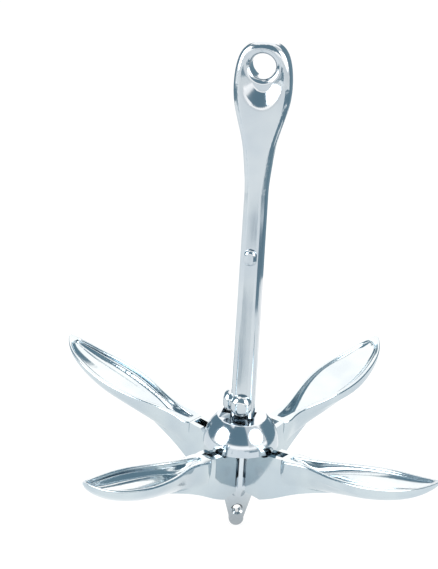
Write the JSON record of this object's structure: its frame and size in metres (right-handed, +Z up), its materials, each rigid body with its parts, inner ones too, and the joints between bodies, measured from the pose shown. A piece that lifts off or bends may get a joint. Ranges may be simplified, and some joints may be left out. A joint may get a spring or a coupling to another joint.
{
  "type": "folding grapnel anchor",
  "caption": "Polished steel folding grapnel anchor: a shank with a rode eye, a sliding locking cup, and spoon-shaped flukes hinged to a crown with a tripping eye.",
  "frame": {"origin": "on the shank's axis, level with the lowest point, the end of the tripping-line eye", "axes": "+Z up the shank to the rode eye, -Y out of the rode eye's front face, +X to the right seen from the front"},
  "size_m": [0.2716, 0.2716, 0.3292],
  "materials": {
    "shank_steel": "mirror polished stainless steel",
    "crown_steel": "mirror polished stainless steel",
    "collar_steel": "mirror polished stainless steel",
    "fluke_steel": "mirror polished stainless steel",
    "pin_steel": "mirror polished stainless steel"
  },
  "bodies": {
    "shank_and_crown": {"shank": "shank_steel", "crown": "crown_steel", "crown_pin": "pin_steel"},
    "locking_collar": {"locking_collar": "collar_steel"},
    "fluke_1": {"fluke_1": "fluke_steel", "hinge_pin_1": "pin_steel"},
    "fluke_2": {"fluke_2": "fluke_steel", "hinge_pin_2": "pin_steel"},
    "fluke_3": {"fluke_3": "fluke_steel", "hinge_pin_3": "pin_steel"},
    "fluke_4": {"fluke_4": "fluke_steel", "hinge_pin_4": "pin_steel"}
  },
  "joints": [
    {"name": "collar_slide", "type": "slide", "parent": "shank_and_crown", "child": "locking_collar", "axis": [0, 0, 1], "range_m": [0, 0.134]},
    {"name": "fluke_1_fold", "type": "hinge", "parent": "shank_and_crown", "child": "fluke_1", "pos_m": [0.00949, 0.01929, 0.0495], "axis": [0.8973, -0.4415, 0], "range_deg": [0, 75]},
    {"name": "fluke_2_fold", "type": "hinge", "parent": "shank_and_crown", "child": "fluke_2", "pos_m": [-0.01929, 0.00949, 0.0495], "axis": [0.4415, 0.8973, 0], "range_deg": [0, 75]},
    {"name": "fluke_3_fold", "type": "hinge", "parent": "shank_and_crown", "child": "fluke_3", "pos_m": [-0.00949, -0.01929, 0.0495], "axis": [-0.8973, 0.4415, 0], "range_deg": [0, 75]},
    {"name": "fluke_4_fold", "type": "hinge", "parent": "shank_and_crown", "child": "fluke_4", "pos_m": [0.01929, -0.00949, 0.0495], "axis": [-0.4415, -0.8973, 0], "range_deg": [0, 75]}
  ],
  "couplings": [
    {"joint": "fluke_1_fold", "follows": "collar_slide", "rad_per_m": 9.7686},
    {"joint": "fluke_2_fold", "follows": "collar_slide", "rad_per_m": 9.7686},
    {"joint": "fluke_3_fold", "follows": "collar_slide", "rad_per_m": 9.7686},
    {"joint": "fluke_4_fold", "follows": "collar_slide", "rad_per_m": 9.7686}
  ]
}
